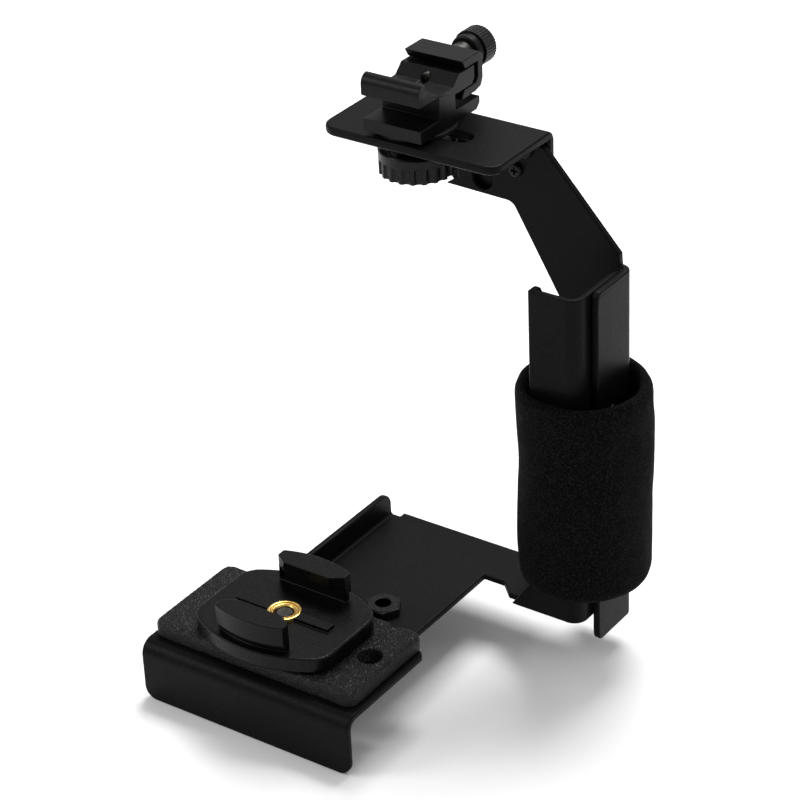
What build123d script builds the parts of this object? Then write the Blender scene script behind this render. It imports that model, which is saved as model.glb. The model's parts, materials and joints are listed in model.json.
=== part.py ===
"""Camera hand bracket: bent-sheet base and grip channel, sloping arm, platform with a clamping shoe.

Millimetres, +Z up. +X runs from the tray towards the grip and +Y from the front skirt to the rear arm.
The origin is on the axis of the tripod thread, at the underside of the base sheet.
"""

import os
from build123d import *

os.makedirs("parts", exist_ok=True)

# ---------------------------------------------------------------- driving dimensions

# Base sheet
BASE_T = 2.2
TRAY_LEFT, TRAY_RIGHT = -56.5, 25.3
TRAY_FRONT, TRAY_BACK = -56.0, -12.3
SKIRT_DROP = 19.2
SKIRT_BEND_R = 5.0
PLATE_RIGHT, PLATE_BACK = 16.9, 52.4
LIP_LEFT, LIP_TOP = -33.5, 10.8
LIP_FRONT, LIP_BACK = -6.0, 50.0
STRAP_FRONT = 34.5

# Grip channel, the upright part of the base sheet
CHANNEL_LEFT, CHANNEL_RIGHT = 40.3, 58.1
CHANNEL_FRONT = 27.3
CHANNEL_TOP = 118.2
CHANNEL_BEND_R = 5.0
RETURN_LIP_DEPTH = 5.4
WALL_FOOT_LEFT = 31.8
WALL_FOOT_HEIGHT = 11.7

# Arm plate and its side flange
ARM_T = 2.4
ARM_BACK = 56.7
ARM_FRONT = ARM_BACK - ARM_T
FLANGE_OUTER = 60.9
FLANGE_FRONT = 34.8
FLANGE_TOP, FLANGE_BOTTOM = 118.6, -9.0
ARM_LEFT, ARM_TOP = -7.2, 152.8
ARM_HOLE_X, ARM_HOLE_Z, ARM_HOLE_R = 7.0, 136.9, 3.8

# Platform bracket
PLATFORM_T, PLATFORM_BEND_R = 3.0, 3.4
PLATFORM_TOP = 156.9
PLATFORM_LEFT, PLATFORM_RIGHT = -35.2, 30.5
PLATFORM_FRONT = 26.0
PLATFORM_BACK = ARM_BACK + 0.05 + PLATFORM_T
REAR_FLANGE_LEFT, REAR_FLANGE_BOTTOM = -7.0, 131.4
SLOT_X0, SLOT_X1, SLOT_W = -13.5, 12.2, 6.6
PLATFORM_SCREWS = [(19.8, 142.9), (23.5, 150.0)]

# Grip
FOAM_X, FOAM_Y, FOAM_R = 51.4, 42.3, 22.0
FOAM_BOTTOM, FOAM_TOP = 12.1, 82.9
RIVET_Y = 44.0
RIVET_HEIGHTS = [22.0, 48.0, 74.0]

# Tray furniture: pad, turning mount disc and the screw that holds it
PAD_T, PAD_EDGE_R, PAD_CORNER_R = 5.9, 2.0, 3.5
PAD_LEFT, PAD_RIGHT = -55.4, 23.4
PAD_FRONT, PAD_BACK = -50.5, -10.6
DISC_X, DISC_Y = -15.7, -31.7
DISC_T = 5.8
DISC_HALF_X, DISC_HALF_Y = 26.0, 22.5
DISC_ARC_R, DISC_CORNER_R = 44.0, 8.0
RAIL_HEIGHT, RAIL_HALF_LENGTH = 9.4, 13.3
RAIL_INNER, RAIL_UNDERCUT, RAIL_OUTER = 12.35, 15.0, 20.9
RAIL_ARC_R = 35.4
RAIL_LEAD_X, RAIL_LEAD_Y = 4.3, 2.85
RAIL_FOOT_H, RAIL_FOOT_INSET = 2.4, 1.2
BAR_L, BAR_W, BAR_H = 36.6, 4.0, 1.2
SIDE_HOLE_X, SIDE_HOLE_Y, SIDE_HOLE_R = 16.0, -30.0, 3.3
PAD_HOLE_R = 4.1
PAD_NOTCH_X, PAD_NOTCH_R = 13.0, 2.6

# Threads: a 1/4 inch screw is 6.35 mm over its crests
QUARTER_R = 3.1
QUARTER_BORE_R = 3.18
TRIPOD_BORE_R = 2.6
HEX_AF = 11.1

# Shoe adapter
SHOE_X, SHOE_Y = -7.25, 41.8
STUD_X, STUD_Y = -8.2, 40.7
SHOE_L = 21.5
SHOE_WASHER_T = 1.5
SHOE_Z = PLATFORM_TOP + SHOE_WASHER_T
CLAMP_AXIS_Z = SHOE_Z + 13.05
JAW_GAP = 2.0
CLAMP_SCREW_R = 1.5
LOCK_NUT_R, LOCK_NUT_BOTTOM, LOCK_NUT_RIM = 12.3, 141.9, 5.1
LOCK_NUT_FLANGE_TOP = 150.5

FIT_GAP = 0.05


def save(builder, name):
    """Label a finished piece and write its STEP file."""
    builder.part.label = name
    export_step(builder.part, f"parts/{name}.step")


# ---------------------------------------------------------------- base bracket
# Tray with front skirt, plate with left lip, and the strap that carries the grip channel.

with BuildPart() as base_bracket:
    # Tray and skirt, an L in the YZ plane
    with BuildSketch(Plane.YZ.offset(TRAY_LEFT)) as tray_section:
        with BuildLine():
            Polyline(
                (TRAY_BACK, 0),
                (TRAY_BACK, BASE_T),
                (TRAY_FRONT, BASE_T),
                (TRAY_FRONT, -SKIRT_DROP),
                (TRAY_FRONT + BASE_T, -SKIRT_DROP),
                (TRAY_FRONT + BASE_T, 0),
                close=True,
            )
        make_face()
        outer = tray_section.vertices().sort_by_distance((TRAY_FRONT, BASE_T, 0))[0]
        fillet(outer, SKIRT_BEND_R)
        inner = tray_section.vertices().sort_by_distance((TRAY_FRONT + BASE_T, 0, 0))[0]
        fillet(inner, SKIRT_BEND_R - BASE_T)
    extrude(amount=TRAY_RIGHT - TRAY_LEFT)
    fillet(base_bracket.edges().filter_by(Axis.Y).group_by(Axis.Z)[0], 4.5)
    fillet(base_bracket.edges().filter_by(Axis.Z).group_by(Axis.Y)[-1], 3.5)

    # Main plate and strap, flat
    with BuildSketch(Plane.XY) as plate_outline:
        with BuildLine():
            Polyline(
                (LIP_LEFT + 4.0, TRAY_BACK - 6.0),
                (PLATE_RIGHT, TRAY_BACK - 6.0),
                (PLATE_RIGHT, STRAP_FRONT),
                (24.5, STRAP_FRONT),
                (WALL_FOOT_LEFT - BASE_T, CHANNEL_FRONT + BASE_T),
                (CHANNEL_RIGHT - BASE_T, CHANNEL_FRONT + BASE_T),
                (CHANNEL_RIGHT - BASE_T, PLATE_BACK),
                (LIP_LEFT + 5.6, PLATE_BACK),
                (LIP_LEFT + 5.6, LIP_BACK),
                (LIP_LEFT + 4.0, LIP_BACK),
                close=True,
            )
        make_face()
        bend_root = (CHANNEL_RIGHT - BASE_T, CHANNEL_FRONT + BASE_T, 0)
        fillet(plate_outline.vertices().sort_by_distance(bend_root)[0], CHANNEL_BEND_R - BASE_T)
    extrude(amount=BASE_T)

    # Left lip, an L in the XZ plane
    with BuildSketch(Plane.XZ.offset(-LIP_BACK)) as lip_section:
        with BuildLine():
            Polyline(
                (LIP_LEFT + 6.0, 0),
                (LIP_LEFT + 6.0, BASE_T),
                (LIP_LEFT + BASE_T, BASE_T),
                (LIP_LEFT + BASE_T, LIP_TOP),
                (LIP_LEFT, LIP_TOP),
                (LIP_LEFT, 0),
                close=True,
            )
        make_face()
        outer = lip_section.vertices().sort_by_distance((LIP_LEFT, 0, 0))[0]
        fillet(outer, 3.2)
        inner = lip_section.vertices().sort_by_distance((LIP_LEFT + BASE_T, BASE_T, 0))[0]
        fillet(inner, 1.0)
    extrude(amount=LIP_BACK - LIP_FRONT)
    lip_corners = base_bracket.edges().filter_by(Axis.X).group_by(Axis.Z)[-1]
    fillet(lip_corners, 4.5)

    # Holes: tripod nut, mount screw and side hole
    with Locations((0, 0, BASE_T)):
        Hole(3.75)
    with Locations((DISC_X, DISC_Y, BASE_T)):
        Hole(3.5)
    with Locations((SIDE_HOLE_X, SIDE_HOLE_Y, BASE_T)):
        Hole(SIDE_HOLE_R)

save(base_bracket, "base_bracket")

# ---------------------------------------------------------------- grip channel
# Front wall with a return lip on its left, bent into the right wall. It is folded up from the base
# sheet, and is a node of its own so that each of the two is a simple open shape.

with BuildPart() as grip_channel:
    with BuildSketch(Plane.XY) as channel_section:
        with BuildLine():
            Polyline(
                (CHANNEL_LEFT, CHANNEL_FRONT),
                (CHANNEL_RIGHT, CHANNEL_FRONT),
                (CHANNEL_RIGHT, PLATE_BACK),
                (CHANNEL_RIGHT - BASE_T, PLATE_BACK),
                (CHANNEL_RIGHT - BASE_T, CHANNEL_FRONT + BASE_T),
                (CHANNEL_LEFT, CHANNEL_FRONT + BASE_T),
                close=True,
            )
        make_face()
        outer = channel_section.vertices().sort_by_distance((CHANNEL_RIGHT, CHANNEL_FRONT, 0))[0]
        fillet(outer, CHANNEL_BEND_R)
        corner = (CHANNEL_RIGHT - BASE_T, CHANNEL_FRONT + BASE_T, 0)
        inner = channel_section.vertices().sort_by_distance(corner)[0]
        fillet(inner, CHANNEL_BEND_R - BASE_T)
    extrude(amount=CHANNEL_TOP)

    # Foot of the front wall, cut at a slant on its left
    with BuildSketch(Plane.XZ.offset(-CHANNEL_FRONT - BASE_T)):
        with BuildLine():
            Polyline(
                (WALL_FOOT_LEFT, 0),
                (CHANNEL_LEFT, 0),
                (CHANNEL_LEFT, WALL_FOOT_HEIGHT),
                close=True,
            )
        make_face()
    extrude(amount=BASE_T)

    # Return lip down the left edge of the front wall
    with BuildSketch(Plane.YZ.offset(CHANNEL_LEFT)):
        with BuildLine():
            Polyline(
                (CHANNEL_FRONT + BASE_T, WALL_FOOT_HEIGHT + 0.5),
                (CHANNEL_FRONT + RETURN_LIP_DEPTH, WALL_FOOT_HEIGHT + 5.0),
                (CHANNEL_FRONT + RETURN_LIP_DEPTH, CHANNEL_TOP),
                (CHANNEL_FRONT + BASE_T, CHANNEL_TOP),
                close=True,
            )
        make_face()
    extrude(amount=BASE_T)
    lip_top = grip_channel.edges().filter_by(Axis.X).group_by(Axis.Z)[-1]
    fillet(lip_top.sort_by_distance((CHANNEL_LEFT, CHANNEL_FRONT + RETURN_LIP_DEPTH, CHANNEL_TOP))[0], 2.4)
    with BuildSketch(Plane.YZ.offset(CHANNEL_RIGHT + 1)):
        with Locations(*[(RIVET_Y, z) for z in RIVET_HEIGHTS]):
            Circle(1.8)
    extrude(amount=-BASE_T - 2, mode=Mode.SUBTRACT)

save(grip_channel, "grip_channel")

# ---------------------------------------------------------------- arm plate
# Flat plate behind the grip and the sloping arm, with a flange folded forward outside the channel.

with BuildPart() as arm_plate:
    with BuildSketch(Plane.XZ.offset(-ARM_BACK)) as arm_outline:
        with BuildLine():
            Polyline(
                (CHANNEL_LEFT + 0.3, FLANGE_BOTTOM),
                (FLANGE_OUTER - 4.0, FLANGE_BOTTOM),
                (FLANGE_OUTER - 4.0, FLANGE_TOP + 4.0),
                (29.5, ARM_TOP),
                (ARM_LEFT + 4.6, ARM_TOP),
                (ARM_LEFT + 4.6, 134.8),
                (ARM_LEFT, 131.7),
                (17.8, 131.1),
                (34.3, 102.6),
                (CHANNEL_LEFT + 0.3, 91.7),
                close=True,
            )
        make_face()
        elbow = arm_outline.vertices().sort_by_distance((17.8, 131.1, 0))[0]
        fillet(elbow, 3.6)
        shoulder = arm_outline.vertices().sort_by_distance((29.5, ARM_TOP, 0))[0]
        fillet(shoulder, 3.0)
    extrude(amount=ARM_T)

    with BuildSketch(Plane.XY.offset(FLANGE_BOTTOM)) as flange_section:
        with BuildLine():
            Polyline(
                (FLANGE_OUTER - 6.0, ARM_FRONT),
                (FLANGE_OUTER - ARM_T, ARM_FRONT),
                (FLANGE_OUTER - ARM_T, FLANGE_FRONT),
                (FLANGE_OUTER, FLANGE_FRONT),
                (FLANGE_OUTER, ARM_BACK),
                (FLANGE_OUTER - 6.0, ARM_BACK),
                close=True,
            )
        make_face()
        outer = flange_section.vertices().sort_by_distance((FLANGE_OUTER, ARM_BACK, 0))[0]
        fillet(outer, 4.0)
        inner = flange_section.vertices().sort_by_distance((FLANGE_OUTER - ARM_T, ARM_FRONT, 0))[0]
        fillet(inner, 1.6)
    extrude(amount=FLANGE_TOP - FLANGE_BOTTOM)
    front_corners = arm_plate.edges().filter_by(Axis.X).group_by(Axis.Y)[0]
    fillet(front_corners, 2.6)

    with BuildSketch(Plane.XZ.offset(-ARM_BACK - 1)):
        with Locations((ARM_HOLE_X, ARM_HOLE_Z)):
            Circle(ARM_HOLE_R)
        with Locations(*PLATFORM_SCREWS):
            Circle(1.6)
    extrude(amount=ARM_T + 2, mode=Mode.SUBTRACT)
    with BuildSketch(Plane.YZ.offset(FLANGE_OUTER + 1)):
        with Locations(*[(RIVET_Y, z) for z in RIVET_HEIGHTS]):
            Circle(1.8)
    extrude(amount=-ARM_T - 2, mode=Mode.SUBTRACT)

save(arm_plate, "arm_plate")

# ---------------------------------------------------------------- platform bracket
# Slotted top plate whose rear edge folds down behind the arm.

with BuildPart() as platform_bracket:
    underside = PLATFORM_TOP - PLATFORM_T
    with BuildSketch(Plane.YZ.offset(REAR_FLANGE_LEFT)) as fold_section:
        with BuildLine():
            Polyline(
                (PLATFORM_FRONT, underside),
                (PLATFORM_FRONT, PLATFORM_TOP),
                (PLATFORM_BACK, PLATFORM_TOP),
                (PLATFORM_BACK, REAR_FLANGE_BOTTOM),
                (PLATFORM_BACK - PLATFORM_T, REAR_FLANGE_BOTTOM),
                (PLATFORM_BACK - PLATFORM_T, underside),
                close=True,
            )
        make_face()
        outer = fold_section.vertices().sort_by_distance((PLATFORM_BACK, PLATFORM_TOP, 0))[0]
        fillet(outer, PLATFORM_BEND_R)
    extrude(amount=PLATFORM_RIGHT - REAR_FLANGE_LEFT)
    fillet(platform_bracket.edges().filter_by(Axis.Y).group_by(Axis.Z)[0], 3.0)

    with BuildSketch(Plane.XY.offset(underside)):
        with Locations((PLATFORM_LEFT, PLATFORM_FRONT)):
            Rectangle(
                REAR_FLANGE_LEFT - PLATFORM_LEFT,
                PLATFORM_BACK - PLATFORM_BEND_R - PLATFORM_FRONT,
                align=(Align.MIN, Align.MIN),
            )
    extrude(amount=PLATFORM_T)
    corners = platform_bracket.edges().filter_by(Axis.Z)
    fillet(corners.group_by(Axis.X)[0], 6.0)
    near_right = (PLATFORM_RIGHT, PLATFORM_FRONT, underside)
    fillet(platform_bracket.edges().filter_by(Axis.Z).sort_by_distance(near_right)[0], 4.5)

    with BuildSketch(Plane.XY.offset(PLATFORM_TOP)):
        with Locations(((SLOT_X0 + SLOT_X1) / 2, STUD_Y)):
            SlotOverall(SLOT_X1 - SLOT_X0, SLOT_W)
    extrude(amount=-PLATFORM_T, mode=Mode.SUBTRACT)
    with BuildSketch(Plane.XZ.offset(-PLATFORM_BACK - 1)):
        with Locations(*PLATFORM_SCREWS):
            Circle(1.6)
    extrude(amount=PLATFORM_T + 2, mode=Mode.SUBTRACT)

save(platform_bracket, "platform_bracket")

# ---------------------------------------------------------------- fasteners of the frame

screw_y = ARM_FRONT
nut_y = PLATFORM_BACK
with BuildPart() as platform_screws:
    with BuildSketch(Plane.XZ.offset(-screw_y)):
        with Locations(*PLATFORM_SCREWS):
            Circle(2.3)
    extrude(amount=1.5)
    fillet(platform_screws.edges().group_by(Axis.Y)[0], 0.7)
    with BuildSketch(Plane.XZ.offset(-screw_y)):
        with Locations(*PLATFORM_SCREWS):
            Circle(1.5)
    extrude(amount=-(nut_y - screw_y) - 3.0)
    with BuildSketch(Plane.XZ.offset(1.6 - screw_y)):
        with Locations(*PLATFORM_SCREWS):
            Rectangle(2.6, 0.6)
            Rectangle(0.6, 2.6)
    extrude(amount=-1.0, mode=Mode.SUBTRACT)

save(platform_screws, "platform_screws")

with BuildPart() as platform_nuts:
    with BuildSketch(Plane.XZ.offset(-nut_y)):
        with Locations(*PLATFORM_SCREWS):
            RegularPolygon(2.75, 6, major_radius=False)
            Circle(1.55, mode=Mode.SUBTRACT)
    extrude(amount=-2.4)

save(platform_nuts, "platform_nuts")

with BuildPart() as grip_rivets:
    wall = CHANNEL_RIGHT - BASE_T
    with BuildSketch(Plane.YZ.offset(wall)):
        with Locations(*[(RIVET_Y, z) for z in RIVET_HEIGHTS]):
            Circle(3.0)
    extrude(amount=-1.0)
    with BuildSketch(Plane.YZ.offset(wall)):
        with Locations(*[(RIVET_Y, z) for z in RIVET_HEIGHTS]):
            Circle(1.75)
    extrude(amount=FLANGE_OUTER - wall)

save(grip_rivets, "grip_rivets")

# ---------------------------------------------------------------- foam grip

with BuildPart() as foam_grip:
    with BuildSketch(Plane.XY.offset(FOAM_BOTTOM)):
        with Locations((FOAM_X, FOAM_Y)):
            Circle(FOAM_R)
    extrude(amount=FOAM_TOP - FOAM_BOTTOM)
    fillet(foam_grip.edges().filter_by(GeomType.CIRCLE), 3.5)
    with BuildSketch(Plane.XY.offset(FOAM_BOTTOM - 1)):
        with Locations(((CHANNEL_LEFT + FLANGE_OUTER) / 2, (CHANNEL_FRONT + ARM_BACK) / 2)):
            RectangleRounded(FLANGE_OUTER - CHANNEL_LEFT + 0.4, ARM_BACK - CHANNEL_FRONT + 0.4, 0.5)
    extrude(amount=FOAM_TOP - FOAM_BOTTOM + 2, mode=Mode.SUBTRACT)

save(foam_grip, "foam_grip")

# ---------------------------------------------------------------- tripod nut
# Clinched hex nut: a round pilot in the sheet and the hexagon above it.

with BuildPart() as tripod_nut:
    with BuildSketch(Plane.XY):
        Circle(3.72)
    extrude(amount=BASE_T)
    with BuildSketch(Plane.XY.offset(BASE_T)):
        RegularPolygon(HEX_AF / 2, 6, major_radius=False)
    extrude(amount=2.6)
    with BuildSketch(Plane.XY.offset(BASE_T + 2.6)):
        Circle(HEX_AF / 2 - 0.3)
    extrude(amount=0.3)
    with Locations((0, 0, BASE_T + 2.9)):
        Hole(TRIPOD_BORE_R)

save(tripod_nut, "tripod_nut")

# ---------------------------------------------------------------- pad on the tray

with BuildPart() as base_pad:
    with BuildSketch(Plane.XY.offset(BASE_T)):
        with Locations((PAD_LEFT, PAD_FRONT)):
            Rectangle(PAD_RIGHT - PAD_LEFT, PAD_BACK - PAD_FRONT, align=(Align.MIN, Align.MIN))
    extrude(amount=PAD_T)
    upright = base_pad.edges().filter_by(Axis.Z)
    fillet(upright, PAD_CORNER_R)
    fillet(base_pad.faces().sort_by(Axis.Z)[-1].edges(), PAD_EDGE_R)
    with Locations((DISC_X, DISC_Y, BASE_T + PAD_T)):
        Hole(6.5)
    with Locations((SIDE_HOLE_X, SIDE_HOLE_Y, BASE_T + PAD_T)):
        Hole(PAD_HOLE_R)
    with Locations((PAD_NOTCH_X, PAD_BACK + 0.3, BASE_T + PAD_T)):
        Hole(PAD_NOTCH_R)

save(base_pad, "base_pad")

# ---------------------------------------------------------------- action camera mount
# Barrel-shaped disc, a centre bar, and two undercut rails that a camera buckle slides between.

disc_z = BASE_T + PAD_T
rail_z = disc_z + DISC_T
with BuildPart() as action_mount:
    with BuildSketch(Plane.XY.offset(disc_z)):
        with Locations((DISC_X, DISC_Y - DISC_HALF_Y + DISC_ARC_R)):
            Circle(DISC_ARC_R)
        with Locations((DISC_X, DISC_Y + DISC_HALF_Y - DISC_ARC_R)):
            Circle(DISC_ARC_R, mode=Mode.INTERSECT)
        with Locations((DISC_X, DISC_Y)):
            Rectangle(2 * DISC_HALF_X, 3 * DISC_HALF_Y, mode=Mode.INTERSECT)
    extrude(amount=DISC_T)
    fillet(action_mount.edges().filter_by(Axis.Z), DISC_CORNER_R)
    chamfer(action_mount.faces().sort_by(Axis.Z)[-1].edges(), 0.35)
    chamfer(action_mount.faces().sort_by(Axis.Z)[0].edges(), 0.8)

    # Rails: straight inside, arc outside, lead-in corners, and a foot set back from the arc
    for side in (-1, 1):
        for low, high, inset in ((0, RAIL_FOOT_H, RAIL_FOOT_INSET), (RAIL_FOOT_H, RAIL_HEIGHT, 0)):
            sagitta = RAIL_ARC_R - (RAIL_ARC_R**2 - RAIL_HALF_LENGTH**2) ** 0.5
            end_y = side * (RAIL_OUTER - inset - sagitta)
            with BuildSketch(Plane((DISC_X, DISC_Y, rail_z + low), x_dir=(1, 0, 0), z_dir=(0, 0, 1))):
                with BuildLine():
                    ThreePointArc(
                        (-RAIL_HALF_LENGTH, end_y),
                        (0, side * (RAIL_OUTER - inset)),
                        (RAIL_HALF_LENGTH, end_y),
                    )
                    Polyline(
                        (RAIL_HALF_LENGTH, end_y),
                        (RAIL_HALF_LENGTH, side * (RAIL_INNER + RAIL_LEAD_Y)),
                        (RAIL_HALF_LENGTH - RAIL_LEAD_X, side * RAIL_INNER),
                        (RAIL_LEAD_X - RAIL_HALF_LENGTH, side * RAIL_INNER),
                        (-RAIL_HALF_LENGTH, side * (RAIL_INNER + RAIL_LEAD_Y)),
                        (-RAIL_HALF_LENGTH, end_y),
                    )
                make_face()
            extrude(amount=high - low)

    # Undercut inside the rails
    with BuildSketch(Plane.YZ.offset(DISC_X - RAIL_HALF_LENGTH - 1)):
        with Locations((DISC_Y, rail_z + 2.6)):
            Rectangle(2 * RAIL_UNDERCUT, 5.2)
    extrude(amount=2 * RAIL_HALF_LENGTH + 2, mode=Mode.SUBTRACT)

    with BuildSketch(Plane.XY.offset(rail_z)):
        with Locations((DISC_X, DISC_Y)):
            Rectangle(BAR_L, BAR_W)
    extrude(amount=BAR_H)
    with Locations((DISC_X, DISC_Y, rail_z + BAR_H)):
        Hole(5.6)

save(action_mount, "action_mount")

with BuildPart() as brass_insert:
    with BuildSketch(Plane.XY.offset(disc_z + 0.6)):
        with Locations((DISC_X, DISC_Y)):
            Circle(5.58)
            Circle(QUARTER_BORE_R, mode=Mode.SUBTRACT)
    extrude(amount=DISC_T + BAR_H - 0.6)
    chamfer(brass_insert.faces().sort_by(Axis.Z)[-1].edges(), 0.3)

save(brass_insert, "brass_insert")

# ---------------------------------------------------------------- mount screw under the tray

knob_top = -1.3
knob_bottom = -12.3
with BuildPart() as mount_screw:
    with BuildSketch(Plane.XY.offset(knob_bottom + 2.0)):
        with Locations((DISC_X, DISC_Y)):
            Circle(QUARTER_R)
    extrude(amount=rail_z + 0.4 - knob_bottom - 2.0)
    chamfer(mount_screw.faces().sort_by(Axis.Z)[-1].edges(), 0.6)
    with BuildSketch(Plane.XY.offset(4.95)):
        with Locations((DISC_X, DISC_Y)):
            Circle(QUARTER_R + 1)
            Circle(QUARTER_R - 0.6, mode=Mode.SUBTRACT)
    extrude(amount=0.7, mode=Mode.SUBTRACT)

save(mount_screw, "mount_screw")

with BuildPart() as mount_knob:
    with BuildSketch(Plane.XY.offset(knob_bottom)):
        with Locations((DISC_X, DISC_Y)):
            Circle(10.5)
            with PolarLocations(10.9, 24):
                Circle(0.8, mode=Mode.SUBTRACT)
    extrude(amount=8.0)
    with BuildSketch(Plane.XY.offset(knob_bottom + 8.0)):
        with Locations((DISC_X, DISC_Y)):
            Circle(6.5)
    extrude(amount=knob_top - knob_bottom - 8.0)
    with BuildSketch(Plane.XY.offset(knob_bottom + 2.0)):
        with Locations((DISC_X, DISC_Y)):
            Circle(QUARTER_R)
    extrude(amount=20.0, mode=Mode.SUBTRACT)

save(mount_knob, "mount_knob")

with BuildPart() as mount_washer:
    with BuildSketch(Plane.XY.offset(knob_top + FIT_GAP)):
        with Locations((DISC_X, DISC_Y)):
            Circle(8.0)
            Circle(QUARTER_R + 0.3, mode=Mode.SUBTRACT)
    extrude(amount=-knob_top - 2 * FIT_GAP)

save(mount_washer, "mount_washer")

with BuildPart() as mount_clip:
    with BuildSketch(Plane.XY.offset(5.0)):
        with Locations((DISC_X, DISC_Y)):
            Circle(4.6)
            Circle(QUARTER_R - 0.55, mode=Mode.SUBTRACT)
        with Locations((DISC_X + 3.0, DISC_Y)):
            Rectangle(6.0, 3.4, mode=Mode.SUBTRACT)
    extrude(amount=0.6)

save(mount_clip, "mount_clip")

# ---------------------------------------------------------------- shoe adapter
# Sections are drawn in the YZ plane of the shoe: its own zero is the stud axis at the slab's underside.

shoe_plane = Plane(
    origin=(SHOE_X - SHOE_L / 2, SHOE_Y, SHOE_Z), x_dir=(0, 1, 0), z_dir=(1, 0, 0)
)

with BuildPart() as shoe_body:
    with BuildSketch(shoe_plane):
        with BuildLine():
            ThreePointArc((-15.8, 15.8), (-14.86, 18.06), (-12.6, 19.0))
            Polyline(
                (-12.6, 19.0),
                (-12.0, 18.7),
                (-12.6, 16.6),
                (-13.0, 15.0),
                (-8.7, 15.0),
                (-5.0, 12.2),
                (2.6, 12.2),
                (6.1, 15.4),
                (14.8, 15.4),
                (14.8, 11.2),
                (13.4, 9.4),
                (4.0, 9.4),
                (4.0, 4.2),
                (17.0, 4.2),
                (17.4, 3.8),
                (17.4, 1.8),
                (15.6, 0),
                (-15.2, 0),
                (-15.2, 4.2),
                (-5.0, 4.2),
                (-5.0, 11.9),
                (-15.2, 11.9),
                (-15.8, 12.5),
                (-15.8, 15.8),
            )
        make_face()
    extrude(amount=SHOE_L)
    with BuildSketch(Plane.XZ.offset(-SHOE_Y - 20)):
        with Locations((SHOE_X, CLAMP_AXIS_Z)):
            Circle(CLAMP_SCREW_R + 0.08)
    extrude(amount=20.0, mode=Mode.SUBTRACT)
    with BuildSketch(Plane.XY.offset(SHOE_Z)):
        with Locations((STUD_X, STUD_Y)):
            Circle(QUARTER_R)
    extrude(amount=8.0, mode=Mode.SUBTRACT)

save(shoe_body, "shoe_body")

with BuildPart() as clamp_jaw:
    with BuildSketch(shoe_plane):
        with BuildLine():
            Polyline(
                (8.0, 18.8),
                (9.7, 15.8),
                (14.8 + JAW_GAP, 15.8),
                (14.8 + JAW_GAP, 10.6),
                (15.4, 9.1),
                (9.1, 9.1),
                (7.3, 6.2),
                (15.2, 6.2),
                (18.4, 7.0),
                (19.6, 9.4),
                (19.6, 17.0),
                (17.8, 18.8),
                close=True,
            )
        make_face()
    extrude(amount=SHOE_L)
    with BuildSketch(Plane.XZ.offset(-SHOE_Y - 25)):
        with Locations((SHOE_X, CLAMP_AXIS_Z)):
            Circle(CLAMP_SCREW_R + 0.08)
    extrude(amount=12.0, mode=Mode.SUBTRACT)

save(clamp_jaw, "clamp_jaw")

# Thumbscrew, turning about Y: shank, neck, stepped collar and knurled knob
jaw_back = SHOE_Y + 19.6
knob_near, knob_far = SHOE_Y + 28.8, SHOE_Y + 34.5
with BuildPart() as thumbscrew:
    with BuildSketch(Plane.XZ.offset(-SHOE_Y - 3.6)):
        with Locations((SHOE_X, CLAMP_AXIS_Z)):
            Circle(CLAMP_SCREW_R)
    extrude(amount=-(knob_far - 1.5 - SHOE_Y - 3.6))
    chamfer(thumbscrew.faces().sort_by(Axis.Y)[0].edges(), 0.4)
    with BuildSketch(Plane.XZ.offset(-jaw_back - FIT_GAP)):
        with Locations((SHOE_X, CLAMP_AXIS_Z)):
            Circle(4.0)
    extrude(amount=-(knob_near - 3.3 - jaw_back - FIT_GAP))

save(thumbscrew, "thumbscrew")

with BuildPart() as knob_collar:
    with BuildSketch(Plane.XZ.offset(3.3 - knob_near)):
        with Locations((SHOE_X, CLAMP_AXIS_Z)):
            Circle(5.5)
            Circle(CLAMP_SCREW_R, mode=Mode.SUBTRACT)
    extrude(amount=-3.3)
    front_circles = knob_collar.edges().filter_by(GeomType.CIRCLE).group_by(Axis.Y)[0]
    chamfer(front_circles.sort_by(SortBy.RADIUS)[-1], 0.5)

save(knob_collar, "knob_collar")

with BuildPart() as thumbscrew_knob:
    with BuildSketch(Plane.XZ.offset(-knob_near)):
        with Locations((SHOE_X, CLAMP_AXIS_Z)):
            Circle(6.25)
            with PolarLocations(6.45, 38):
                Circle(0.36, mode=Mode.SUBTRACT)
    extrude(amount=-(knob_far - knob_near))
    with BuildSketch(Plane.XZ.offset(-knob_near + 1)):
        with Locations((SHOE_X, CLAMP_AXIS_Z)):
            Circle(CLAMP_SCREW_R)
    extrude(amount=-(knob_far - knob_near - 0.5), mode=Mode.SUBTRACT)

save(thumbscrew_knob, "thumbscrew_knob")

# ---------------------------------------------------------------- shoe stud, washers and lock nut

with BuildPart() as shoe_stud:
    with BuildSketch(Plane.XY.offset(LOCK_NUT_BOTTOM + 0.5)):
        with Locations((STUD_X, STUD_Y)):
            Circle(QUARTER_R)
    extrude(amount=SHOE_Z + 8.0 - LOCK_NUT_BOTTOM - 0.5)
    chamfer(shoe_stud.faces().sort_by(Axis.Z)[0].edges(), 0.5)

save(shoe_stud, "shoe_stud")

with BuildPart() as shoe_washer:
    with BuildSketch(Plane.XY.offset(PLATFORM_TOP + FIT_GAP)):
        with Locations((STUD_X, STUD_Y)):
            Circle(13.2)
            Circle(QUARTER_R + 0.3, mode=Mode.SUBTRACT)
    extrude(amount=SHOE_WASHER_T - 2 * FIT_GAP)

save(shoe_washer, "shoe_washer")

washer_top = PLATFORM_TOP - PLATFORM_T - FIT_GAP
with BuildPart() as lock_washer:
    with BuildSketch(Plane.XY.offset(washer_top)):
        with Locations((STUD_X, STUD_Y)):
            Circle(8.5)
            Circle(QUARTER_R + 0.3, mode=Mode.SUBTRACT)
    extrude(amount=-1.0)

save(lock_washer, "lock_washer")

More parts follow.
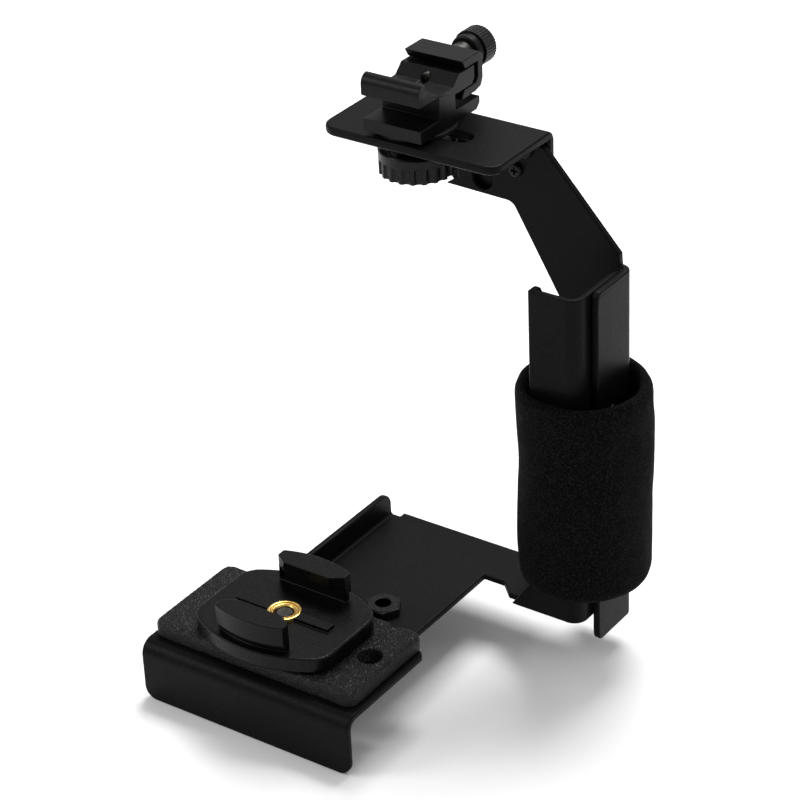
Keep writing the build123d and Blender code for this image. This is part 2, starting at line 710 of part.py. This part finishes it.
with BuildPart() as lock_nut:
    with BuildSketch(Plane.XY.offset(LOCK_NUT_BOTTOM)):
        with Locations((STUD_X, STUD_Y)):
            Circle(LOCK_NUT_R)
            with PolarLocations(LOCK_NUT_R + 0.7, 20):
                Circle(1.5, mode=Mode.SUBTRACT)
    extrude(amount=LOCK_NUT_RIM)
    with BuildSketch(Plane.XY.offset(LOCK_NUT_BOTTOM + LOCK_NUT_RIM)):
        with Locations((STUD_X, STUD_Y)):
            Circle(LOCK_NUT_R)
    extrude(amount=LOCK_NUT_FLANGE_TOP - LOCK_NUT_BOTTOM - LOCK_NUT_RIM)
    chamfer(lock_nut.faces().sort_by(Axis.Z)[-1].edges(), 0.6)
    with BuildSketch(Plane.XY.offset(LOCK_NUT_FLANGE_TOP)):
        with Locations((STUD_X, STUD_Y)):
            Circle(6.4)
    extrude(amount=washer_top - 1.0 - FIT_GAP - LOCK_NUT_FLANGE_TOP)
    with Locations((STUD_X, STUD_Y, washer_top)):
        Hole(QUARTER_BORE_R)

save(lock_nut, "lock_nut")
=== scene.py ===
"""Studio scene of the camera hand bracket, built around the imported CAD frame. Metres, +Z up."""

import json
from math import atan2, cos, exp, pi, radians, sin

import bmesh
import bpy
from mathutils import Matrix, Vector, noise


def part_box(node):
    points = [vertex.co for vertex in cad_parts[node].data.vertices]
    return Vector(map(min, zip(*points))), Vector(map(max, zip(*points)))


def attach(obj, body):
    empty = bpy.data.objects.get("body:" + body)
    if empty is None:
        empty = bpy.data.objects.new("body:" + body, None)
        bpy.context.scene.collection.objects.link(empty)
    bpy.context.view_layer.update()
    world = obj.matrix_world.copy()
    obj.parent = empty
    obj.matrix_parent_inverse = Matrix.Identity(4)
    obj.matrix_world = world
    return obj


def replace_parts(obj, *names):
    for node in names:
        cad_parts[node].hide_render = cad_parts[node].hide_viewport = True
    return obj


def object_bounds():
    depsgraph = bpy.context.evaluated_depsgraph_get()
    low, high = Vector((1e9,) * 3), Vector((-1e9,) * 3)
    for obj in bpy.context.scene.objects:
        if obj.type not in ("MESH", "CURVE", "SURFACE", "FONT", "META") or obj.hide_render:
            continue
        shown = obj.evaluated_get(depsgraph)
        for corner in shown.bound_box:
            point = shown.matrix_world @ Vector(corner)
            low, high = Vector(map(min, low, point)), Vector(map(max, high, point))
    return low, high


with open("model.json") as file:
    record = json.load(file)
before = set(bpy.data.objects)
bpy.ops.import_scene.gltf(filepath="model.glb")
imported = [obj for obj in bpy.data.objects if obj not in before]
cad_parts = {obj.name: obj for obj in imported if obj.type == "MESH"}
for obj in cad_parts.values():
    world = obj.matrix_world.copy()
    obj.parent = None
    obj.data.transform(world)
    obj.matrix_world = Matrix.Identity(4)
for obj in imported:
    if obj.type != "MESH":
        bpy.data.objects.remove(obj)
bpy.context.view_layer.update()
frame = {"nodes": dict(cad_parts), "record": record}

MM = 0.001
record = frame["record"]
body_of_node = {n: b for b, nodes in record["behaviour"]["bodies"].items() for n in nodes}
slot_of_node = {part["node"]: part["material_slot"] for part in record["subparts"]}


# ---------------------------------------------------------------- camera


def add_camera():
    """A long lens, looking down on the tray's right-hand side."""
    place = (0.4531, -0.6108, 0.5189)
    azimuth, elevation, roll = radians(35.93), radians(29.95), radians(-2.587)
    back = Vector((sin(azimuth) * cos(elevation), -cos(azimuth) * cos(elevation), sin(elevation)))
    right = Vector((cos(azimuth), sin(azimuth), 0))
    up = back.cross(right)
    rolled_right = cos(roll) * right + sin(roll) * up
    rolled_up = -sin(roll) * right + cos(roll) * up
    camera = bpy.data.objects.new("camera", bpy.data.cameras.new("camera"))
    camera.data.lens = 126.64
    camera.data.sensor_width = 36
    camera.data.clip_start = 0.01
    turn = Matrix((rolled_right, rolled_up, back)).transposed().to_4x4()
    camera.matrix_world = Matrix.Translation(place) @ turn
    bpy.context.collection.objects.link(camera)
    bpy.context.scene.camera = camera


# ---------------------------------------------------------------- materials


class Shader:
    """A Principled material with object coordinates, in which 1000 is one cycle to the millimetre."""

    def __init__(self, name, **settings):
        self.material = bpy.data.materials.new(name)
        self.material.use_nodes = True
        self.nodes = self.material.node_tree.nodes
        self.links = self.material.node_tree.links
        self.bsdf = self.nodes["Principled BSDF"]
        for key, value in settings.items():
            self.bsdf.inputs[key.replace("_", " ")].default_value = value
        self.coordinates = self.nodes.new("ShaderNodeTexCoord").outputs["Object"]

    def noise(self, scale, detail=3.0, stretch=None):
        node = self.nodes.new("ShaderNodeTexNoise")
        node.inputs["Scale"].default_value = scale
        node.inputs["Detail"].default_value = detail
        node.inputs["Roughness"].default_value = 0.55
        vector = self.coordinates
        if stretch:
            mapping = self.nodes.new("ShaderNodeMapping")
            mapping.inputs["Scale"].default_value = stretch
            self.links.new(vector, mapping.inputs["Vector"])
            vector = mapping.outputs["Vector"]
        self.links.new(vector, node.inputs["Vector"])
        return node.outputs["Fac"]

    def cells(self, scale, feature="F1"):
        node = self.nodes.new("ShaderNodeTexVoronoi")
        node.feature = feature
        node.inputs["Scale"].default_value = scale
        self.links.new(self.coordinates, node.inputs["Vector"])
        return node.outputs["Distance"]

    def spread(self, value, low, high, from_low=0.3, from_high=0.7):
        node = self.nodes.new("ShaderNodeMapRange")
        node.inputs["From Min"].default_value = from_low
        node.inputs["From Max"].default_value = from_high
        node.inputs["To Min"].default_value = low
        node.inputs["To Max"].default_value = high
        self.links.new(value, node.inputs["Value"])
        return node.outputs["Result"]

    def mix(self, factor, dark, light):
        node = self.nodes.new("ShaderNodeMix")
        node.data_type = "RGBA"
        for socket, value in ((node.inputs[6], dark), (node.inputs[7], light)):
            if isinstance(value, tuple):
                socket.default_value = (*value, 1)
            else:
                self.links.new(value, socket)
        self.links.new(factor, node.inputs[0])
        return node.outputs[2]

    def times(self, a, b):
        node = self.nodes.new("ShaderNodeMath")
        node.operation = "MULTIPLY"
        self.links.new(a, node.inputs[0])
        self.links.new(b, node.inputs[1])
        return node.outputs[0]

    def colour(self, value):
        self.links.new(value, self.bsdf.inputs["Base Color"])

    def rough(self, value):
        self.links.new(value, self.bsdf.inputs["Roughness"])

    def bump(self, height, depth, strength=1.0):
        """depth is the height of the relief, in metres. A second call lies on top of the first."""
        node = self.nodes.new("ShaderNodeBump")
        node.inputs["Strength"].default_value = strength
        node.inputs["Distance"].default_value = depth
        self.links.new(height, node.inputs["Height"])
        below = self.bsdf.inputs["Normal"].links
        if below:
            self.links.new(below[0].from_socket, node.inputs["Normal"])
        self.links.new(node.outputs["Normal"], self.bsdf.inputs["Normal"])


def grey(level):
    return (level, level, level * 1.04)


def powder_coat():
    """Satin black powder coat: fine orange-peel relief and a scatter of lighter grains."""
    s = Shader("powder_coat", Specular_IOR_Level=0.06)
    base = s.mix(s.spread(s.noise(90, 4), 0, 1), grey(0.003), grey(0.004))
    s.colour(s.mix(s.spread(s.noise(2100, 2), 0, 1, 0.56, 0.72), base, grey(0.010)))
    s.rough(s.spread(s.noise(1300, 3), 0.3, 0.46))
    s.bump(s.noise(1500, 2), 0.000045)
    s.bump(s.noise(160, 2), 0.00003, 0.4)
    return s.material


def black_oxide():
    """Thin blackened finish of the screws and the tripod nut."""
    s = Shader("black_oxide", Specular_IOR_Level=0.14)
    s.colour(s.mix(s.spread(s.noise(700, 4), 0, 1), grey(0.003), grey(0.008)))
    s.rough(s.spread(s.noise(900, 4), 0.24, 0.4))
    s.bump(s.noise(2600, 3), 0.00001)
    return s.material


def anodised(name, base, rough, specular):
    """Fine bead-blasted black anodising."""
    s = Shader(name, Specular_IOR_Level=specular)
    body = s.mix(s.spread(s.noise(200, 4), 0, 1), grey(base * 0.8), grey(base * 1.25))
    s.colour(s.mix(s.spread(s.noise(2600, 2), 0, 1, 0.58, 0.74), body, grey(base * 3.5)))
    s.rough(s.spread(s.noise(900, 3), *rough))
    s.bump(s.noise(2400, 2), 0.000022)
    return s.material


def leather_rubber():
    """Leather-grained rubber: the pebbles are in the mesh, the fine creases are here."""
    s = Shader("leather_rubber", Specular_IOR_Level=0.2)
    s.colour(s.mix(s.spread(s.noise(600, 4), 0, 1), grey(0.004), grey(0.009)))
    s.rough(s.spread(s.noise(900, 4), 0.3, 0.46))
    s.bump(s.spread(s.cells(1050, "DISTANCE_TO_EDGE"), 0, 1, 0.0, 0.2), 0.0002, 0.8)
    s.bump(s.noise(4200, 3), 0.000018)
    return s.material


def foam():
    """Closed-cell foam: small round pits over faint lumps, with painted light on the raised cell
    walls and painted shade in the low creases between them.
    """
    s = Shader("foam", Specular_IOR_Level=0.05, Sheen_Weight=0.015, Sheen_Roughness=0.6)
    s.bsdf.inputs["Sheen Tint"].default_value = (0.35, 0.35, 0.37, 1)
    pits = s.spread(s.cells(1500), 1, 0, 0.12, 0.62)
    # Colour follows the relief: painted light where the cells stand high, painted shade in the low
    # creases between them.
    painted_relief_light = s.times(pits, s.spread(s.noise(1700, 2), 0.1, 1, 0.42, 0.62))
    s.colour(s.mix(painted_relief_light, grey(0.001), grey(0.015)))
    s.rough(s.spread(s.noise(300, 3), 0.82, 0.97))
    s.bump(pits, 0.00022, 0.9)
    s.bump(s.noise(900, 3), 0.0002, 0.7)
    return s.material


def metal(name, light, dark, rough, turned=False):
    """Machined metal with fine marks and faint tarnish."""
    s = Shader(name, Metallic=1.0)
    s.colour(s.mix(s.spread(s.noise(450, 5), 0, 1, 0.35, 0.7), light, dark))
    s.rough(s.spread(s.noise(1100, 4), *rough))
    s.bump(s.noise(2200, 2, stretch=(1, 1, 6) if turned else None), 0.000008)
    return s.material


materials = {
    "sheet_black": powder_coat(),
    "screw_black": black_oxide(),
    "rivet_steel": metal("rivet_steel", (0.32, 0.33, 0.34), (0.2, 0.2, 0.21), (0.25, 0.42)),
    "foam_black": foam(),
    "nut_black": black_oxide(),
    "pad_rubber": leather_rubber(),
    "disc_black": anodised("disc_anodised", 0.0016, (0.24, 0.34), 0.13),
    "insert_brass": metal("brass", (0.86, 0.6, 0.2), (0.58, 0.36, 0.09), (0.2, 0.36), True),
    "screw_steel": metal("dark_steel", (0.07, 0.068, 0.065), (0.03, 0.029, 0.028), (0.3, 0.5), True),
    "knob_black": anodised("knob_anodised", 0.003, (0.24, 0.36), 0.17),
    "washer_steel": metal("washer_steel", (0.5, 0.51, 0.52), (0.34, 0.34, 0.35), (0.22, 0.4)),
    "clip_steel": metal("clip_steel", (0.3, 0.31, 0.33), (0.18, 0.18, 0.2), (0.25, 0.4)),
    "shoe_black": anodised("shoe_anodised", 0.0028, (0.28, 0.4), 0.13),
    "washer_black": anodised("washer_matt", 0.004, (0.4, 0.55), 0.2),
}


# ---------------------------------------------------------------- mesh helpers

BEVEL_SHARES = (1, 0.8, 0.6, 0.45, 0.3)
BEVEL_SLACK = 0.05  # how far, in millimetres, a bevelled copy may stand out of its node's box
SHARP_ANGLE = 32  # degrees between two faces, from which their edge is rounded


def new_piece(name, mesh, node):
    """A piece that stands for a CAD node, with its body, slot and material."""
    piece = bpy.data.objects.new(name, mesh)
    bpy.context.collection.objects.link(piece)
    for polygon in mesh.polygons:
        polygon.use_smooth = True
    mesh.materials.clear()
    mesh.materials.append(materials[slot_of_node[node]])
    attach(piece, body_of_node[node])
    return piece


def clean_copy(node):
    """The node's mesh with shared corners joined and its flat faces made whole."""
    work = bmesh.new()
    work.from_mesh(frame["nodes"][node].data)
    same_place, flat_enough = 0.002 * MM, radians(0.4)
    bmesh.ops.remove_doubles(work, verts=work.verts, dist=same_place)
    bmesh.ops.dissolve_limit(work, angle_limit=flat_enough, verts=work.verts, edges=work.edges)
    work.verts.index_update()
    mesh = bpy.data.meshes.new(node + "_shell")
    corners = [vertex.co[:] for vertex in work.verts]
    mesh.from_pydata(corners, [], [[vertex.index for vertex in face.verts] for face in work.faces])
    work.free()
    return mesh


def with_modifiers(mesh, *modifiers):
    """The mesh that those modifiers make. Each is (type, {setting: value})."""
    worker = bpy.data.objects.new("worker", mesh)
    bpy.context.collection.objects.link(worker)
    for polygon in mesh.polygons:
        polygon.use_smooth = True
    for kind, settings in modifiers:
        modifier = worker.modifiers.new(kind.lower(), kind)
        for key, value in settings.items():
            setattr(modifier, key, value)
    depsgraph = bpy.context.evaluated_depsgraph_get()
    result = bpy.data.meshes.new_from_object(worker.evaluated_get(depsgraph))
    bpy.data.objects.remove(worker)
    return result


def stays_inside(mesh, node):
    """Whether the mesh keeps to the node's own box, to a twentieth of a millimetre."""
    low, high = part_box(node)
    slack = BEVEL_SLACK * MM
    return all(
        low[axis] - slack <= vertex.co[axis] <= high[axis] + slack
        for vertex in mesh.vertices
        for axis in range(3)
    )


def bevelled(node, width):
    """Stands for a CAD node, with its sharp edges rounded by up to width in millimetres.

    The widest bevel that throws no spike out of the node's box is kept. If every width throws one,
    Blender clamps the bevel where edges meet.
    """
    bevel = {
        "segments": 3,
        "limit_method": "ANGLE",
        "angle_limit": radians(SHARP_ANGLE),
        "harden_normals": True,
        "use_clamp_overlap": False,
    }
    for share in BEVEL_SHARES:
        bevel["width"] = width * share * MM
        mesh = with_modifiers(clean_copy(node), ("BEVEL", bevel))
        if stays_inside(mesh, node):
            break
    else:
        bevel["use_clamp_overlap"] = True
        mesh = with_modifiers(clean_copy(node), ("BEVEL", bevel))
    piece = new_piece(node + "_shell", mesh, node)
    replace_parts(piece, node)
    return piece


def lathe(name, profile, centre, node, segments=96):
    """A closed profile of (radius, height) in millimetres, turned about Z through centre."""
    work = bmesh.new()
    rings = []
    for step in range(segments):
        turn = 2 * pi * step / segments
        rings.append([
            work.verts.new((centre[0] + r * MM * cos(turn), centre[1] + r * MM * sin(turn), z * MM))
            for r, z in profile
        ])
    for step in range(segments):
        here, after = rings[step], rings[(step + 1) % segments]
        for k in range(len(profile)):
            n = (k + 1) % len(profile)
            work.faces.new((here[k], after[k], after[n], here[n]))
    bmesh.ops.recalc_face_normals(work, faces=work.faces)
    mesh = bpy.data.meshes.new(name)
    work.to_mesh(mesh)
    work.free()
    piece = new_piece(name, mesh, node)
    mesh.set_sharp_from_angle(angle=radians(40))
    return piece


# ---------------------------------------------------------------- hard pieces

BEVEL_WIDTHS = {  # millimetres
    "base_bracket": 0.6,
    "grip_channel": 0.6,
    "arm_plate": 0.6,
    "platform_bracket": 0.9,
    "action_mount": 0.3,
    "shoe_body": 0.2,
    "clamp_jaw": 0.35,
    "tripod_nut": 0.25,
    "lock_nut": 0.22,
    "thumbscrew_knob": 0.1,
    "knob_collar": 0.2,
    "mount_knob": 0.2,
    "shoe_washer": 0.25,
    "lock_washer": 0.15,
    "mount_washer": 0.15,
    "platform_screws": 0.1,
    "platform_nuts": 0.15,
    "grip_rivets": 0.15,
}
for node, width in BEVEL_WIDTHS.items():
    bevelled(node, width)

for node in ("mount_screw", "mount_clip", "thumbscrew", "shoe_stud"):
    part = frame["nodes"][node]
    part.data.materials.clear()
    part.data.materials.append(materials[slot_of_node[node]])


def brass_ring():
    """Ring in the disc: bright rim, a turned groove, and a chamfered bore."""
    low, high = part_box("brass_insert")
    centre = ((low[0] + high[0]) / 2, (low[1] + high[1]) / 2)
    bottom, top = low[2] / MM, high[2] / MM
    profile = [
        (3.18, bottom), (3.18, top - 0.7), (3.6, top - 0.28), (3.75, top - 0.22),
        (4.05, top - 0.22), (4.15, top - 0.45), (4.45, top - 0.45), (4.55, top - 0.1),
        (4.7, top), (5.3, top), (5.5, top - 0.12), (5.56, top - 0.35), (5.56, bottom),
    ]
    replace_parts(lathe("brass_ring", profile, centre, "brass_insert"), "brass_insert")


brass_ring()


def nut_thread():
    """The turns of the thread that show inside the tripod nut, 20 to the inch."""
    low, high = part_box("tripod_nut")
    pitch, crest, root = 1.27, 2.2, 2.57
    set_back, skin = 0.2, 0.02
    bottom, top = low[2] / MM + set_back, high[2] / MM - set_back
    turns = int((top - bottom) / pitch)
    profile = []
    for turn in range(turns):
        start = bottom + turn * pitch
        profile += [(root, start), (crest, start + pitch * 0.45), (crest, start + pitch * 0.55)]
    profile += [(root, bottom + turns * pitch), (root + skin, top), (root + skin, bottom)]
    piece = lathe("nut_thread", profile, (0, 0), "tripod_nut", 64)
    piece.data.materials[0] = materials["clip_steel"]


nut_thread()


# ---------------------------------------------------------------- pad


PEBBLES_PER_METRE = 980
CREASE_WIDTH = 0.34  # as a share of a pebble
GRAIN_DEPTH = 0.34  # mm, from a pebble's top to its crease
GRAIN_LAYER = 1.1  # mm below the pad's top, above which the grain grows to its full depth
GRAIN_ONSET = 0.8  # mm of height over which it grows


def pebble(point):
    """Height of the leather grain from 0 to 1: rounded pebbles with creases between them."""
    warp = noise.noise_vector(point * 700) * 0.35
    near, far = noise.voronoi(point * PEBBLES_PER_METRE + warp)[0][:2]
    crease = min(max((far - near) / CREASE_WIDTH, 0), 1)
    return crease * crease * (3 - 2 * crease)


def grained_pad():
    """Rubber pad: a soft-edged slab with leather grain on its top and a smooth border."""
    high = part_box("base_pad")[1]
    remesh = {"mode": "VOXEL", "voxel_size": 0.42 * MM, "use_smooth_shade": True}
    smooth = {"factor": 0.5, "iterations": 5}
    mesh = with_modifiers(clean_copy("base_pad"), ("REMESH", remesh), ("SMOOTH", smooth))
    grain_floor = high[2] - GRAIN_LAYER * MM
    for vertex in mesh.vertices:
        faces_up = vertex.normal.z >= 0.35
        if vertex.co.z < grain_floor or not faces_up:
            continue
        rise = min((vertex.co.z - grain_floor) / (GRAIN_ONSET * MM), 1)
        lump = noise.noise(vertex.co * 220) * 0.1
        vertex.co.z += (pebble(vertex.co) * GRAIN_DEPTH - GRAIN_DEPTH + lump) * rise * MM
    mesh.update()
    piece = new_piece("grained_pad", mesh, "base_pad")
    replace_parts(piece, "base_pad")


grained_pad()


# ---------------------------------------------------------------- foam grip


def foam_sleeve():
    """Foam sleeve over the channel: slightly wavy, with soft rims and a snug rounded-square bore."""
    low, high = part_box("foam_grip")
    centre = Vector(((low[0] + high[0]) / 2, (low[1] + high[1]) / 2, 0))
    radius = (high[0] - low[0]) / 2
    channel_low, channel_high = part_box("grip_channel")
    plate_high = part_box("arm_plate")[1]
    channel_width = 17.8 * MM
    corner_low = Vector((channel_high[0] - channel_width, channel_low[1], 0))
    corner_high = Vector((plate_high[0], plate_high[1], 0))
    corners = [
        Vector((x, y, 0)) - centre
        for x in (corner_low.x, corner_high.x)
        for y in (corner_low.y, corner_high.y)
    ]
    loose_bore, stretch, stretch_spread = 17.0 * MM, 0.3 * MM, 0.42
    rim = 3.8 * MM
    straight = high[2] - low[2] - 2 * rim
    around, rows, rim_rows, core_rows = 200, 70, 9, 6

    def core_point(turn):
        """The bore is round, and stretched outwards over the four corners of the channel."""
        reach = loose_bore
        for corner in corners:
            away = (turn - atan2(corner.y, corner.x) + pi) % (2 * pi) - pi
            extra = max(0, corner.length + stretch - loose_bore)
            reach = max(reach, loose_bore + extra * exp(-(away / stretch_spread) ** 2))
        return reach

    work = bmesh.new()
    grid = []
    for step in range(around):
        turn = 2 * pi * step / around
        bore = core_point(turn)
        wall = radius - bore
        middle = bore + wall / 2
        column = []
        for k in range(core_rows):
            column.append((bore, high[2] - rim - straight * k / core_rows))
        for k in range(rim_rows + 1):
            bend = pi * k / rim_rows
            column.append((middle - wall / 2 * cos(bend), low[2] + rim * (1 - sin(bend))))
        for k in range(1, rows):
            column.append((radius, low[2] + rim + straight * k / rows))
        for k in range(rim_rows + 1):
            bend = pi * k / rim_rows
            column.append((middle + wall / 2 * cos(bend), high[2] - rim * (1 - sin(bend))))
        ring = []
        for reach, height in column:
            direction = Vector((cos(turn), sin(turn), 0))
            outward = max(0, (reach - bore) / wall)
            level = (height - low[2]) / (high[2] - low[2])
            lump = noise.noise(Vector((cos(turn) * 1.3, sin(turn) * 1.3, level * 2.6)))
            dent = noise.noise(Vector((cos(turn) * 4, sin(turn) * 4, level * 9 + 20)))
            swell = (lump * 0.75 + dent * 0.18 - 0.35) * MM * outward
            point = centre + direction * (reach + swell)
            ring.append(work.verts.new((point.x, point.y, height + dent * 0.25 * MM * outward)))
        grid.append(ring)
    count = len(grid[0])
    for step in range(around):
        here, after = grid[step], grid[(step + 1) % around]
        for k in range(count):
            n = (k + 1) % count
            work.faces.new((here[k], after[k], after[n], here[n]))
    bmesh.ops.remove_doubles(work, verts=work.verts, dist=1e-6)
    bmesh.ops.recalc_face_normals(work, faces=work.faces)
    mesh = bpy.data.meshes.new("foam_sleeve")
    work.to_mesh(mesh)
    work.free()
    piece = new_piece("foam_sleeve", mesh, "foam_grip")
    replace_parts(piece, "foam_grip")


foam_sleeve()


# ---------------------------------------------------------------- floor and light


def add_floor():
    s = Shader("floor", Specular_IOR_Level=0.1)
    s.colour(s.mix(s.spread(s.noise(6, 3), 0, 1), (0.93, 0.93, 0.93), (0.95, 0.95, 0.95)))
    s.rough(s.spread(s.noise(30, 3), 0.8, 0.95))
    mesh = bpy.data.meshes.new("floor")
    reach, level = 6.0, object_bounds()[0][2]
    corners = [(x * reach, y * reach, level) for x, y in ((-1, -1), (1, -1), (1, 1), (-1, 1))]
    mesh.from_pydata(corners, [], [(0, 1, 2, 3)])
    mesh.materials.append(s.material)
    floor = bpy.data.objects.new("floor", mesh)
    bpy.context.collection.objects.link(floor)


def add_softbox(name, place, target, size, power):
    light = bpy.data.lights.new(name, "AREA")
    light.shape = "RECTANGLE"
    light.size, light.size_y = size
    light.energy = power
    lamp = bpy.data.objects.new(name, light)
    aim = Vector(target) - Vector(place)
    lamp.matrix_world = Matrix.Translation(place) @ aim.to_track_quat("-Z", "Y").to_matrix().to_4x4()
    bpy.context.collection.objects.link(lamp)


add_camera()
add_floor()
middle = (0.0, 0.0, 0.06)
add_softbox("key_above", (-0.15, 0.75, 1.45), middle, (0.9, 0.7), 27)
add_softbox("left_front", (-1.1, -0.9, 0.95), middle, (0.5, 0.9), 8)
add_softbox("right_side", (1.35, 0.25, 0.75), middle, (0.5, 0.9), 1.8)

world = bpy.data.worlds.new("studio")
world.use_nodes = True
world.node_tree.nodes["Background"].inputs["Color"].default_value = (1, 1, 1, 1)
world.node_tree.nodes["Background"].inputs["Strength"].default_value = 0.5
bpy.context.scene.world = world
bpy.context.scene.view_settings.view_transform = "Standard"
